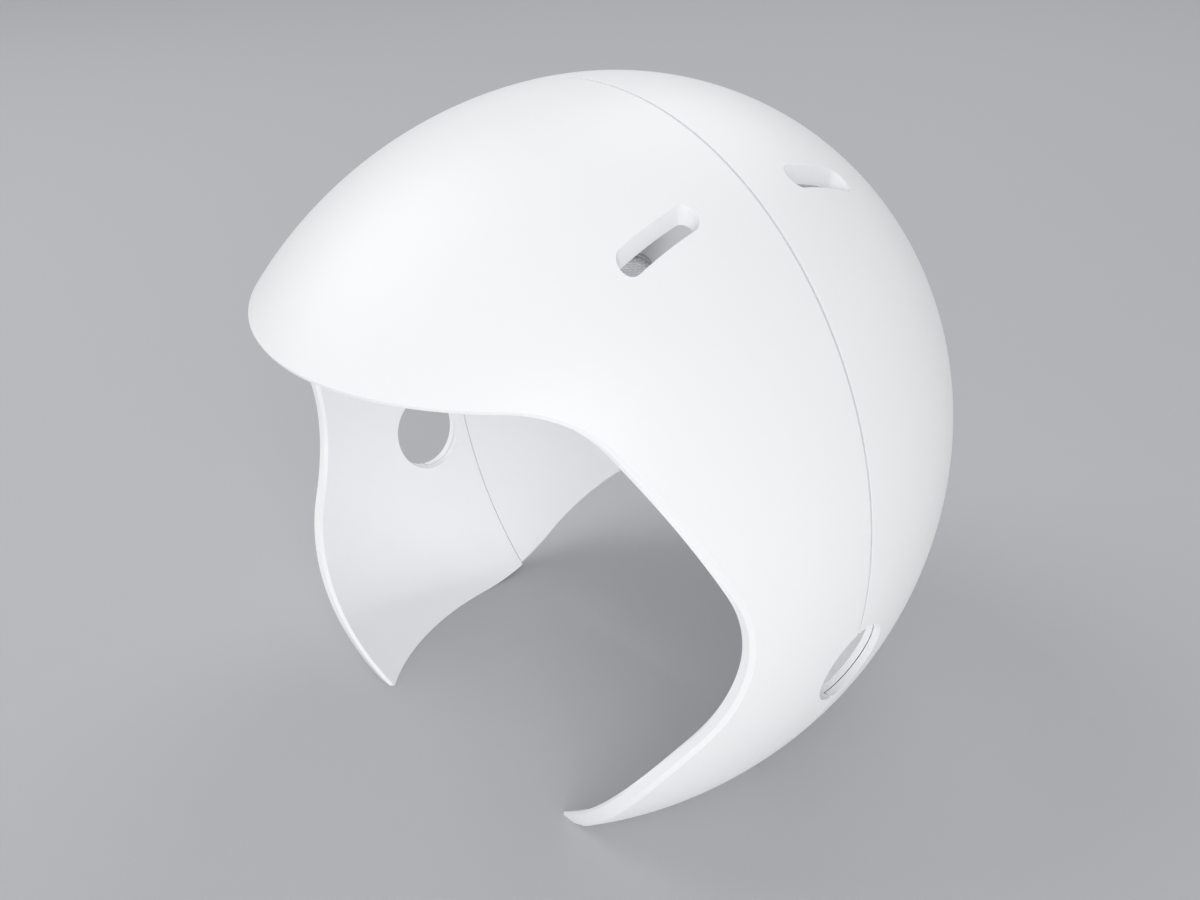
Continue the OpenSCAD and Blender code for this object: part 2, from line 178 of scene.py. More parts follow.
def vertex_points(mesh):
    """A mesh's points in millimetres from the dome's centre."""
    return read(mesh.vertices, "co", 3) / MM - DOME_CENTRE


def unit(turn):
    """Directions (cos, sin) of angles."""
    return np.stack([np.cos(turn), np.sin(turn)], -1)


def arc_points(centre, radius, start, end, count):
    """Points of a flat arc, without its last point."""
    return centre + radius * unit(np.linspace(start, end, count, endpoint=False))


def circle(radius, count):
    """Points of a circle round nought."""
    return arc_points(0, radius, 0, 2 * math.pi, count)


def stadium(width, length, count=48):
    """A slot's outline: two half circles of the width, a straight run apart, with
    the length along the second axis."""
    half = width / 2 * unit(np.linspace(0, math.pi, count))
    run = np.array([0, (length - width) / 2])
    return np.vstack([half + run, -half - run])


def prism(name, outline, low, high, axis):
    """A flat outline carried from low to high along one axis. The outline's two
    columns are the two other axes in their order."""
    return tube(name, [np.insert(outline, axis, level, axis=1) for level in (low, high)])


def halved(low, high, holds):
    """The last value, going from low to high, for which holds(value) is true. It is
    found by halving, for each of what holds(value) answers for."""
    for _ in range(HALVINGS):
        middle = (low + high) / 2
        held = holds(middle)
        low, high = np.where(held, middle, low), np.where(held, high, middle)
    return low


# The dome

# Edges over this angle stay crisp. A corner is on the dome if it is this near to it
# and the cosine between its face's normal and the dome's is over the last value
EDGE_ANGLE, DOME_MISS, DOME_FACING = math.radians(32), 0.02, 0.97


def reach(y, depth):
    """Length of the dome's half axis along Y, ahead of the seam or behind it."""
    return np.where(np.asarray(y) < 0, REACH_FRONT, REACH_BACK) - depth


def dome_point(y, turn, depth):
    """A point of the dome at y, turned from the crown round the Y axis: x = half
    width * c * sin(turn) and z = height * c * cos(turn), where c = sqrt(1 - (y /
    reach)^2), each half axis being shorter by the depth."""
    c = np.sqrt(np.clip(1 - (y / reach(y, depth)) ** 2, 0, None))
    x = (HALF_W - depth) * c * np.sin(turn)
    z = (UP - depth) * c * np.cos(turn)
    return np.stack(np.broadcast_arrays(x, y, z), -1)


def half_axes(y, depth):
    """The dome's three half axes at a depth, ahead of the seam (y < 0) or behind it."""
    return np.stack(np.broadcast_arrays(HALF_W - depth, reach(y, depth), UP - depth), -1)


def dome_ahead(points, direction, axes):
    """How far points are from a dome of these half axes, straight along a direction:
    the larger root of a t^2 + 2 b t + c = 0, from the dome's equation at p + t n."""
    p, n = points / axes, direction / axes
    a, b, c = (n * n).sum(-1), (p * n).sum(-1), (p * p).sum(-1) - 1
    return (-b + np.sqrt(b * b - a * c)) / a


def smooth_dome_faces(piece, depths):
    """Gives corners on the dome at each depth its exact normal, which is each
    coordinate over its half axis squared, so that cuts leave no trace in the
    shading. Other corners keep their own."""
    mesh = piece.data
    mesh.set_sharp_from_angle(angle=EDGE_ANGLE)
    corner = read(mesh.corner_normals, "vector", 3)
    points = vertex_points(mesh)[read(mesh.loops, "vertex_index", kind=np.int32)]
    sizes = read(mesh.polygons, "loop_total", kind=np.int32)
    flat = np.repeat(read(mesh.polygon_normals, "vector", 3), sizes, axis=0)
    for depth in depths:
        axes = half_axes(points[:, 1], depth)
        exact = points / axes ** 2
        exact /= np.linalg.norm(exact, axis=1, keepdims=True)
        facing = np.einsum("ij,ij->i", exact, flat)
        miss = (np.linalg.norm(points / axes, axis=1) - 1) * HALF_W
        on_dome = (np.abs(miss) < DOME_MISS) & (np.abs(facing) > DOME_FACING)
        corner[on_dome] = (exact * np.sign(facing)[:, None])[on_dome]
    mesh.normals_split_custom_set(corner.tolist())


# Outlines of the shells, offset into the material

EAR_CURVE_C = np.array([-EAR_CURVE_REACH - EAR_CURVE_R, EAR_CURVE_Z])
LEAN_OUT = np.array([math.cos(SIDE_LEAN), math.sin(SIDE_LEAN)])
EAR_TANGENT = EAR_CURVE_C + EAR_CURVE_R * LEAN_OUT
BROW_CORNER_Y = EAR_TANGENT[0] - (BROW_Z - EAR_TANGENT[1]) * math.tan(SIDE_LEAN)
CORNER_C = np.array([BROW_CORNER_Y - BROW_CORNER_R * math.tan((math.pi / 2 - SIDE_LEAN) / 2),
                     BROW_Z - BROW_CORNER_R])
CHEEK_C = np.array([EAR_CURVE_C[0] + math.sqrt((EAR_CURVE_R + CHEEK_R) ** 2
                                               - (EAR_CURVE_Z - CHEEK_Z) ** 2), CHEEK_Z])
NECK_TURN_END_Y = NECK_TURN_R * math.sin(NECK_RISE)
# Points along the face opening: brow, corner, straight side, ear curve, cheek
RIM_COUNTS = (44, 14, 26, 28, 32)


def neck_height(y):
    """Height of the neck edge at y: level ahead of the seam, then up round an arc
    that starts level at the seam, then straight on."""
    inside = np.clip(y, 0, NECK_TURN_END_Y)
    arc = NECK_TURN_R - TIP_DEPTH - np.sqrt(NECK_TURN_R ** 2 - inside ** 2)
    return arc + np.clip(y - NECK_TURN_END_Y, 0, None) * math.tan(NECK_RISE)


def rim_curve(offset, depth, lift):
    """The face opening's edge on the dome at a depth, from the middle of the brow to
    the cheek tip, moved into the material by the offset: (y, turn) of each point.
    The brow is the level section of the dome, whose points are evenly spread in
    angle, and the rest is lines and arcs seen from the side. It ends lift above the
    ground."""
    front, up = REACH_FRONT - depth, UP - depth
    brow_z = (BROW_Z + offset) / up
    k = math.sqrt(1 - brow_z ** 2)
    sweep = np.linspace(0, math.acos(-CORNER_C[0] / (front * k)), RIM_COUNTS[0], endpoint=False)
    brow_y, brow_turn = -front * k * np.cos(sweep), np.arctan2(np.sin(sweep) * k, brow_z)
    corner = arc_points(CORNER_C, BROW_CORNER_R + offset, math.pi / 2, SIDE_LEAN, RIM_COUNTS[1])
    share = np.linspace(0, 1, RIM_COUNTS[2], endpoint=False)[:, None]
    upper = CORNER_C + (BROW_CORNER_R + offset) * LEAN_OUT
    lower = EAR_CURVE_C + (EAR_CURVE_R + offset) * LEAN_OUT
    side = upper + (lower - upper) * share
    meet = math.atan2(CHEEK_C[1] - EAR_CURVE_C[1], CHEEK_C[0] - EAR_CURVE_C[0])
    ear = arc_points(EAR_CURVE_C, EAR_CURVE_R + offset, SIDE_LEAN, meet, RIM_COUNTS[3])
    radius = CHEEK_R - offset
    tip = math.pi + math.asin((CHEEK_Z + TIP_DEPTH - lift) / radius)
    cheek = CHEEK_C + radius * unit(np.linspace(meet + math.pi, tip, RIM_COUNTS[4]))
    y, z = np.vstack([corner, side, ear, cheek]).T
    turn = np.arccos(z / up / np.sqrt(1 - (y / front) ** 2))
    return np.concatenate([brow_y, y]), np.concatenate([brow_turn, turn])


def bottom_turn(y, depth, lift):
    """Turn round the Y axis at which the dome meets the neck edge, lifted."""
    c = np.sqrt(1 - (y / reach(y, depth)) ** 2)
    return np.arccos((neck_height(y) + lift) / (UP - depth) / c)


def rounding(radius, count):
    """A quarter round from a face to the edge's own face: (offset from the edge,
    depth) pairs, r (1 - sin a) and r (1 - cos a) for a from 0 to 90 degrees."""
    a = np.linspace(0, math.pi / 2, count)
    return radius * (1 - np.sin(a)), radius * (1 - np.cos(a))


# The front shell's skin

# Rows from the rim to the seam, how they crowd towards the seam, rows of the tongue,
# and points of the rounding at the seam and at the bottom
FRONT_ROWS, FRONT_CROWD, TONGUE_ROWS, SEAM_ROUND, BOTTOM_ROUND = 76, 0.9, 14, 4, 5


def front_section(depth, t, offset, lift):
    """Rows of the front shell between its rim (t = 0) and the seam (t = 1) on the
    dome at a depth. In (y, turn) it is a patch between four curves: y runs straight
    from the rim to the seam, and the turn does too, plus what the bottom edge's own
    turn departs from straight, in proportion to the place along the rim."""
    y_rim, turn_rim = rim_curve(offset, depth, lift)
    s = np.linspace(0, 1, len(y_rim))[:, None]
    t = np.asarray(t)
    y = y_rim[:, None] * (1 - t)
    turn = turn_rim[:, None] * (1 - t)
    turn += bottom_turn(0.0, depth, lift) * seam_spread()[:, None] * t
    turn += s * (bottom_turn(y[-1:], depth, lift) - turn[-1:])
    return dome_point(y, turn, depth)


def seam_spread():
    """Share of the way from the crown to the bottom at which each line of the front
    shell meets the seam: the length along the rim, over all of it."""
    y, turn = rim_curve(RIM_R, 0.0, BOTTOM_R)
    steps = np.linalg.norm(np.diff(dome_point(y, turn, 0.0), axis=0), axis=1)
    return np.concatenate([[0], np.cumsum(steps)]) / steps.sum()


def tongue_section(depth, ys, lift):
    """Rows of the front shell at and behind the seam, at each y, on a depth."""
    return dome_point(ys, bottom_turn(ys, depth, lift) * seam_spread()[:, None], depth)


def front_loop(lift, inset):
    """The closed section of the front shell along every line from the crown to the
    bottom: the outside, the step down to the tongue, the tongue, and back along the
    inside and over the rim with its two chamfers. Near the bottom edge the section
    narrows by the inset."""
    def narrowed(depth, top):
        middle, half = (top + WALL) / 2, (WALL - top) / 2
        return middle + (depth - middle) * (1 - inset / half)

    def wall(depth, t, offset=RIM_R):
        return front_section(narrowed(depth, 0), t, offset + inset, lift)

    def tongue(depth, ys):
        return tongue_section(narrowed(depth, TONGUE_DEPTH), ys, lift)
    t = np.linspace(0, 1, FRONT_ROWS) ** FRONT_CROWD
    seam_out, seam_in = rounding(SEAM_R, SEAM_ROUND)
    tongue_end = TONGUE_LEN - SEAM_R
    rows = [wall(0, t[:-1]),
            tongue_section(narrowed(seam_in, 0), -seam_out, lift),
            tongue(TONGUE_DEPTH, np.linspace(0, tongue_end, TONGUE_ROWS)),
            tongue(TONGUE_DEPTH + seam_in[1:], TONGUE_LEN - inset - seam_out[1:]),
            tongue(WALL - seam_in[::-1], TONGUE_LEN - inset - seam_out[::-1]),
            tongue(WALL, np.linspace(tongue_end, 0, TONGUE_ROWS + SEAM_ROUND)[1:-1]),
            wall(WALL, t[::-1]), wall(WALL - RIM_R, [0.0], 0), wall(RIM_R, [0.0], 0)]
    loop = np.concatenate(rows, axis=1)
    return np.concatenate([loop[:0:-1] * [-1, 1, 1], loop])


def front_shell_skin(name):
    """The front shell without its holes: the closed sections side by side from one
    cheek tip over the crown to the other, rounded in at both bottom edges."""
    lifts, insets = rounding(BOTTOM_R, BOTTOM_ROUND)
    ends = [front_loop(lift, inset) for lift, inset in zip(lifts[1:], insets[1:])]
    return tube(name, np.concatenate([[end[0] for end in ends[::-1]], front_loop(BOTTOM_R, 0.0),
                                      [end[-1] for end in ends]]))


# The rear shell's skin

# Points round it: along the seam and along the neck edge. Its rings, and the points
# over which the seam's small chamfer grows to the neck edge's
REAR_COUNTS, REAR_ROWS, NECK_GROW = (220, 150), 92, 6
# Its rings go round a pole high on its back, from which its whole edge is in sight,
# less than SWING_MOST away. Directions from there: the pole, forward, and to the right
POLE_TILT, SWING_MOST = math.radians(60), math.radians(150)
POLE = np.array([0, math.cos(POLE_TILT), math.sin(POLE_TILT)])
POLE_FORWARD = np.array([0, -math.sin(POLE_TILT), math.cos(POLE_TILT)])


def rear_point(turn, swing, depth):
    """A point of the dome's back at a depth: the unit vector that swings from the
    pole towards the direction at the turn, stretched to the half axes."""
    away = np.cos(turn)[..., None] * POLE_FORWARD + np.sin(turn)[..., None] * ACROSS
    direction = np.cos(swing)[..., None] * POLE + np.sin(swing)[..., None] * away
    return direction * half_axes(0, depth)


def rear_edge(round_offset, round_depth, inner):
    """Edge of the rear shell: for each point round it the turn, the swing and the
    depth. The swing ends where the point leaves the shell, over the seam or over the
    neck edge."""
    n_seam, n_neck = REAR_COUNTS
    place = np.arange(1, n_neck + 1)
    grow = np.clip(np.minimum(place, place[::-1]) / NECK_GROW, 0, 1)
    radius = np.concatenate([np.full(n_seam, SEAM_R), SEAM_R + (RIM_R - SEAM_R) * grow])
    offset, sunk = round_offset * radius, round_depth * radius
    depth = WALL - sunk if inner else sunk
    y = SEAM_GAP + offset[0]
    z = neck_height(y) + offset[0]
    y, z = y / (REACH_BACK - depth[0]), z / (UP - depth[0])
    corner = np.array([math.sqrt(1 - y * y - z * z), y, z])
    corner_turn = math.atan2(corner @ ACROSS, corner @ POLE_FORWARD)
    rest = 2 * (math.pi - corner_turn)
    turn = np.concatenate([corner_turn * np.linspace(-1, 1, n_seam),
                           corner_turn + rest * place / (n_neck + 1)])

    def inside(swing):
        _, y, z = rear_point(turn, swing, depth).T
        return (y > SEAM_GAP + offset) & (z > neck_height(y) + offset)
    return turn, halved(0.0, SWING_MOST, inside), depth


def rear_shell_skin(name):
    """The rear shell without its holes and its rebate: rings round the pole on the
    outside, the chamfered edge, and rings back to the pole on the inside."""
    swell = np.linspace(0, 1, REAR_ROWS + 1)[1:, None]

    def face(inner, swell):
        turn, swing, depth = rear_edge(1.0, 0.0, inner)
        turn, depth = (np.broadcast_to(v, (REAR_ROWS, v.size)) for v in (turn, depth))
        return rear_point(turn, swing * swell, depth)
    edge = [rear_point(*rear_edge(0.0, 1.0, inner)) for inner in (False, True)]
    rings = np.concatenate([face(False, swell), edge, face(True, swell[::-1])])
    return tube(name, rings, tips=POLE * half_axes(0, np.array([0, WALL])))


# Where the rebate's cut begins, ahead of the seam, how deep it goes, and its rings
# and the points of each
REBATE_START, REBATE_FLOOR, REBATE_COUNTS = -6.0, 3 * WALL, (16, 360)


def rebate_ring():
    """What is cut from the inside of the rear shell for the tongue: a closed ring
    round the Y axis between two depths, from ahead of the seam to the tongue's end."""
    rows, cols = REBATE_COUNTS
    turn = np.linspace(0, 2 * math.pi, cols, endpoint=False)
    ys = np.linspace(REBATE_START, TONGUE_LEN + SLIDE_GAP, rows)[:, None]
    rings = [dome_point(ys, turn, REBATE_DEPTH), dome_point(ys[::-1], turn, REBATE_FLOOR)]
    return tube("rebate_ring", np.concatenate(rings), loop=True)


# Holes and bosses

# A slide plate's seat: its middle, the way out to the shell, and the way across it
Seat = namedtuple("Seat", "middle out across")
SEATS = (Seat(np.array([SIDE_PLATE_X, 0, SIDE_PLATE_Z]), ACROSS, UPWARDS),
         Seat(np.array([-SIDE_PLATE_X, 0, SIDE_PLATE_Z]), -ACROSS, UPWARDS),
         Seat(np.array([0, 0, CROWN_PLATE_Z]), UPWARDS, -ACROSS))
# Rounding of a boss's upright edges, points along each, and its chamfer
BOSS_ROUND, BOSS_ARC, BOSS_CHAMFER = 2.0, 8, 0.4
# How far out cuts go to be clear of the helmet, where a slot's cut begins, how far a
# boss's hole runs out of its seat, and points round each kind of hole
CLEAR, SLOT_FLOOR, HOLE_START, EAR_POINTS, HOLE_POINTS = 200.0, 20.0, 1.0, 128, 48


def ear_bore():
    outline = circle(EAR_HOLE_R, EAR_POINTS) + [EAR_HOLE_Y, EAR_HOLE_Z]
    return prism("ear_bore", outline, -CLEAR, CLEAR, 0)


def slot_cut(side, y):
    return prism("slot_cut", stadium(SLOT_W, SLOT_LEN) + [side * SLOT_X, y], SLOT_FLOOR, CLEAR, 2)


def on_seat(seat, out, outline):
    """An outline of (along the helmet, across it) points, so far out from a seat."""
    along, across = np.asarray(outline).T[..., None]
    return seat.middle + out * seat.out + along * ALONG + across * seat.across


def boss(seat, ends, lift):
    """A boss from its seat out to the middle of the wall, with rounded upright
    edges and a small chamfer at the seat."""
    low, high = ends[0] + BOSS_ROUND, ends[1] - BOSS_ROUND
    side = BOSS_W / 2 - BOSS_ROUND
    centres = np.repeat([(high, side), (low, side), (low, -side), (high, -side)], BOSS_ARC, axis=0)
    quarter = np.linspace(0, math.pi / 2, BOSS_ARC)
    around = unit(np.concatenate([quarter + k * math.pi / 2 for k in range(4)]))
    rings = [on_seat(seat, lift + up, centres + around * (BOSS_ROUND - shrink))
             for up, shrink in ((0, BOSS_CHAMFER), (BOSS_CHAMFER, 0))]
    far = dome_ahead(rings[-1], seat.out, half_axes(high, WALL / 2))
    return tube("boss", [*rings, rings[-1] + far[:, None] * seat.out])


def boss_hole(seat, y, lift):
    """The blind hole for an insert, open at the boss's seat."""
    ring = circle(INSERT_R, HOLE_POINTS) + [y, 0]
    return tube("boss_hole", [on_seat(seat, out, ring)
                              for out in (lift - HOLE_START, lift + BOSS_HOLE_DEPTH)])


def fit_out(shell, ends, lift, slot_ys, hole_ys, depths):
    """Gives a shell its bosses, ear holes, slots and the bosses' holes, and smooths
    its faces at the depths."""
    carve(shell, [boss(seat, ends, lift) for seat in SEATS], "UNION")
    cuts = [ear_bore()] + [slot_cut(side, y) for side in (-1, 1) for y in slot_ys]
    cuts += [boss_hole(seat, y, lift) for seat in SEATS for y in hole_ys]
    carve(shell, cuts)
    smooth_dome_faces(shell, depths)
    return shell


def front_shell():
    return fit_out(front_shell_skin("front_shell_white"), FRONT_BOSS, CLAMP_GAP,
                   (FRONT_SLOT_Y, REAR_SLOT_Y), (CLAMP_Y,), (0.0, WALL, TONGUE_DEPTH))


def rear_shell():
    shell = rear_shell_skin("rear_shell_white")
    carve(shell, [rebate_ring()])
    return fit_out(shell, REAR_BOSS, 0.0, (REAR_SLOT_Y,), PLATE_SCREW_YS,
                   (0.0, WALL, REBATE_DEPTH))


# Pads

# A pad's body, its middle, the directions across it, up it and out through the
# shell, its width and height, and the level that its lower edge is cut to, if any
Pad = namedtuple("Pad", "body middle across up out width height level", defaults=[None])
BROW_LEAN = math.radians(45)
BROW_PAD_LOW, BROW_PAD_W, BROW_PAD_H, BROW_PAD_RISE = 8.0, 100.0, 36.0, 1.5
CROWN_PAD_W, FRONT_CROWN_START, PADS_APART = 80.0, 34.0, 8.0
FRONT_CROWN_LEN = (BROW_REACH - (BROW_PAD_LOW + BROW_PAD_H) * math.sin(BROW_LEAN)
                   - PAD_DEPTH * math.cos(BROW_LEAN) - PADS_APART - FRONT_CROWN_START)
REAR_CROWN_START, REAR_CROWN_LEN = 48.0, 38.0
TEMPLE_START, TEMPLE_LEN, TEMPLE_LOW, TEMPLE_H = 2.0, 34.0, 26.0, 40.0
SIDE_START, SIDE_LEN, SIDE_LOW, SIDE_H = 50.0, 36.0, -16.0, 52.0
NAPE_W, NAPE_LOW, NAPE_H = 80.0, -30.0, 70.0
# The least height that a pad with a level lower edge has at its ends
PAD_LEAST = 5.0
# Points along each straight run and each corner arc of a pad's outline, rings of its
# flat sides, and rings of the rounding between them
PAD_RUN, PAD_ARC, PAD_SHEET, PAD_ROUND = 22, 10, 14, 6
# How much narrower a foam block is made, its edges' rounding, and how full it is
FOAM_SHRINK, FOAM_ROUND, FOAM_FILL = 0.2, 1.8, 1.0
# What a cushion leaves free before it is filled: at its edge, towards the foam and
# towards the head; its rounding, crown and drawn-in sides, and how full it is
CUSHION_INSET, CUSHION_LIFT, CUSHION_DROP = 0.9, 0.6, 1.4
CUSHION_ROUND, CUSHION_CROWN, CUSHION_DRAW, CUSHION_FILL = 3.6, 0.8, 1.0, 0.7
# Cells of a cushion's net, its seam's place, how near to it points are held, the
# frames of filling, the furthest that a point may move, and the skin left free
CUSHION_CELL, SEAM_INSET, SEAM_DEPTH, SEAM_HOLD = 2.6, 1.6, CUSHION_DEPTH + 4.6, 1.9
SWELL_FRAMES, SWELL_CAP, PAD_SKIN = 20, 2.4, 0.1
FILLING = {"use_pressure": True, "uniform_pressure_force": 4.0, "mass": 0.1, "quality": 6,
           "tension_stiffness": 12.0, "compression_stiffness": 12.0, "bending_stiffness": 0.4}
# Deeper below the outside of the dome than any pad
DEEPEST = 60.0
# The piping's place, radius and sides
PIPING_INSET, PIPING_R, PIPING_SIDES = 1.0, 0.9, 10
# The stitches' line, spacing, length, thread and how deep their ends are drawn in,
# the rings and sides of each, and its ends' share of the thread
STITCH_INSET, STITCH_PITCH, STITCH_LEN, STITCH_R, STITCH_SINK = 4.4, 4.0, 2.8, 0.32, 0.45
STITCH_ROWS, STITCH_SIDES, STITCH_END = 7, 8, 0.2
# Where the stitches' line starts before it is dropped on the cloth: how much deeper
# than the seam, and then how far inwards
STITCH_LOW, STITCH_DROP = 2.0, 12.0


def crown_pad(body, start, length):
    """A pad under the crown, ahead of the middle or behind it, pressed upwards."""
    middle = AWAY[body] * (start + length / 2) * ALONG
    return Pad(body, middle, ACROSS, ALONG, UPWARDS, CROWN_PAD_W, length)


def wall_pad(body, side, start, length, low, height):
    """A pad on the left or right wall, pressed to it along X."""
    middle = AWAY[body] * (start + length / 2) * ALONG + (low + height / 2) * UPWARDS
    return Pad(body, middle, ALONG, UPWARDS, side * ACROSS, length, height)


def pad_places():
    """Every pad by its name, as the construction places it."""
    upslope = np.array([0, math.cos(BROW_LEAN), math.sin(BROW_LEAN)])
    brow_out = np.array([0, -math.sin(BROW_LEAN), math.cos(BROW_LEAN)])
    brow_middle = np.array([0, -BROW_REACH, BROW_Z]) + (BROW_PAD_LOW + BROW_PAD_H / 2) * upslope
    temple = TEMPLE_START, TEMPLE_LEN, TEMPLE_LOW, TEMPLE_H
    rear_side = SIDE_START, SIDE_LEN, SIDE_LOW, SIDE_H
    return {
        "brow": Pad("front", brow_middle, ACROSS, upslope, brow_out, BROW_PAD_W, BROW_PAD_H,
                    BROW_Z + BROW_PAD_RISE),
        "front_crown": crown_pad("front", FRONT_CROWN_START, FRONT_CROWN_LEN),
        "right_temple": wall_pad("front", 1, *temple),
        "left_temple": wall_pad("front", -1, *temple),
        "rear_crown": crown_pad("rear", REAR_CROWN_START, REAR_CROWN_LEN),
        "right_side": wall_pad("rear", 1, *rear_side),
        "left_side": wall_pad("rear", -1, *rear_side),
        "nape": Pad("rear", (NAPE_LOW + NAPE_H / 2) * UPWARDS, ACROSS, UPWARDS, ALONG,
                    NAPE_W, NAPE_H),
    }


def pad_point(pad, u, v, depth):
    """The point u across and v up a pad at a depth below the outside of the dome."""
    u, v, depth = np.broadcast_arrays(u, v, depth)
    foot = pad.middle + u[..., None] * pad.across + v[..., None] * pad.up
    ahead = dome_ahead(foot, pad.out, half_axes(AWAY[pad.body], depth))
    return foot + ahead[..., None] * pad.out


def level_foot(pad, u, depth, inset):
    """How far up a pad its lower edge is, at u across it."""
    low = inset - pad.height / 2
    if pad.level is None:
        return low
    return halved(low, -low, lambda v: pad_point(pad, u, v, depth)[..., 2] < pad.level + inset)


def width_share(pad, depth, inset):
    """How much of its width a pad with a level lower edge keeps at a depth: as far
    out as it is still PAD_LEAST high."""
    top, half = pad.height / 2 - inset, pad.width / 2 - inset

    def tall(share):
        return top - level_foot(pad, share * half, depth, inset) > PAD_LEAST
    return 1.0 if pad.level is None or tall(1.0) else halved(0.0, 1.0, tall)


def pad_loop(pad, inset, draw=0.0):
    """A pad's outline as (u, v), moved in by the inset: straight runs and corner
    arcs, the runs drawn in between the corners by a sine."""
    r = PAD_CORNER_R - inset
    half_w, half_h = pad.width / 2 - PAD_CORNER_R, pad.height / 2 - PAD_CORNER_R
    t = np.linspace(0, 1, PAD_RUN, endpoint=False)[:, None]
    runs = []
    for turn in range(4):
        a = turn * math.pi / 2
        out, on = unit(a), unit(a + math.pi / 2)
        far, half = (half_h, half_w) if turn % 2 else (half_w, half_h)
        runs.append(out * (far + r - draw * np.sin(math.pi * t)) + on * (2 * t - 1) * half)
        runs.append(arc_points(out * far + on * half, r, a, a + math.pi / 2, PAD_ARC))
    return np.vstack(runs)


def pad_ring(pad, inset, depth, share=1.0, draw=0.0):
    """Points of a pad's outline at an inset and a depth, shrunk to a share of it.
    The outline's height is fitted between the level foot and the pad's top."""
    u, v = (pad_loop(pad, inset, draw) * share).T
    u = u * width_share(pad, depth, inset)
    foot = level_foot(pad, u, depth, inset)
    top = pad.height / 2 - inset
    v = foot + (v + top) / (2 * top) * (top - foot)
    return pad_point(pad, u, v, depth)


def pad_skin(name, pad, inset, top, bottom, round_r, crown=0.0, draw=0.0):
    """A closed pad between two depths: a sheet towards the head, sunk towards its
    edge by the crown times the share squared, a side with two quarter rounds, and a
    sheet towards the shell."""
    shares = np.linspace(0, 1, PAD_SHEET + 1)[1:]
    offsets, sinks = rounding(round_r, PAD_ROUND)
    rows = [(round_r, bottom - crown * f * f, f) for f in shares]
    rows += [(offset, bottom - crown - sink, 1) for offset, sink in zip(offsets[1:], sinks[1:])]
    rows += [(offset, top + sink, 1) for offset, sink in zip(offsets[::-1], sinks[::-1])]
    rows += [(round_r, top, f) for f in shares[-2::-1]]
    rings = [pad_ring(pad, inset + offset, depth, f, draw) for offset, depth, f in rows]
    return tube(name, rings, tips=[rings[0].mean(0), rings[-1].mean(0)])


def pad_depth(pad, points):
    """Depth of each point below the outside of the dome."""
    def inside(depth):
        return ((points / half_axes(AWAY[pad.body], depth)) ** 2).sum(-1) < 1
    return halved(0.0, DEEPEST, inside)


def flat_on(pad, points):
    """How far points are across a pad and up it."""
    return (points - pad.middle) @ np.column_stack([pad.across, pad.up])


def inflate(cushions):
    """Fills the cushions like sewn covers: each becomes an even net of cells, whose
    seam stays where it is while air pressure swells the rest for SWELL_FRAMES. Then
    no point has moved further than SWELL_CAP, and the sides against the foam and the
    head stay inside their layer."""
    before = {}
    for name, (piece, pad) in cushions.items():
        net = piece.modifiers.new("net", "REMESH")
        net.mode, net.voxel_size, net.use_smooth_shade = "VOXEL", CUSHION_CELL * MM, True
        settle(piece)
        points = before[name] = vertex_points(piece.data)
        seam = pad_ring(pad, SEAM_INSET, SEAM_DEPTH)
        near = np.linalg.norm(points[:, None, :] - seam[None, :, :], axis=2).min(1) < SEAM_HOLD
        held = piece.vertex_groups.new(name="seam")
        held.add(np.flatnonzero(near).tolist(), 1.0, "REPLACE")
        cloth = piece.modifiers.new("filling", "CLOTH")
        cloth.settings.vertex_group_mass = "seam"
        cloth.settings.effector_weights.gravity = 0.0
        for label, value in FILLING.items():
            setattr(cloth.settings, label, value)
        cloth.collision_settings.use_collision = False
        cloth.point_cache.frame_start, cloth.point_cache.frame_end = 1, SWELL_FRAMES
    for step in range(1, SWELL_FRAMES + 1):
        bpy.context.scene.frame_set(step)
    for name, (piece, pad) in cushions.items():
        settle(piece)
        moved = vertex_points(piece.data) - before[name]
        far = np.maximum(np.linalg.norm(moved, axis=1, keepdims=True), SAME_POINT)
        lay_in_layer(piece, pad, before[name] + moved * np.minimum(1, SWELL_CAP / far))
    bpy.context.scene.frame_set(1)


def lay_in_layer(piece, pad, points):
    """Puts a cushion's points back, each slid along the pad's out direction to lie
    inside the cushion's layer, and gives it one subdivision."""
    u, v = flat_on(pad, points).T
    depth = np.clip(pad_depth(pad, points), CUSHION_DEPTH + PAD_SKIN, PAD_DEPTH - PAD_SKIN)
    points = pad_point(pad, u, v, depth)
    if pad.level is not None:
        points[:, 2] = np.maximum(points[:, 2], pad.level + PAD_SKIN)
    piece.data.vertices.foreach_set("co", in_frame(points).astype(np.float32).ravel())
    piece.data.update()
    smooth = piece.modifiers.new("smooth", "SUBSURF")
    smooth.levels = smooth.render_levels = 1
    settle(piece)
    piece.vertex_groups.clear()


def square_to(ahead, out):
    """Unit directions square to a run: to its side, and out from it."""
    side = np.cross(ahead, out)
    up = np.cross(side, ahead)
    return [way / np.linalg.norm(way, axis=-1, keepdims=True) for way in (side, up)]


def piping(name, pad):
    """The corded edge sewn round a cushion: a round tube along its seam."""
    line = pad_ring(pad, PIPING_INSET, SEAM_DEPTH)
    side, up = square_to(np.roll(line, -1, axis=0) - np.roll(line, 1, axis=0), pad.out)
    cos, sin = circle(PIPING_R, PIPING_SIDES).T[..., None, None]
    return tube(name, line + cos * side + sin * up, loop=True)


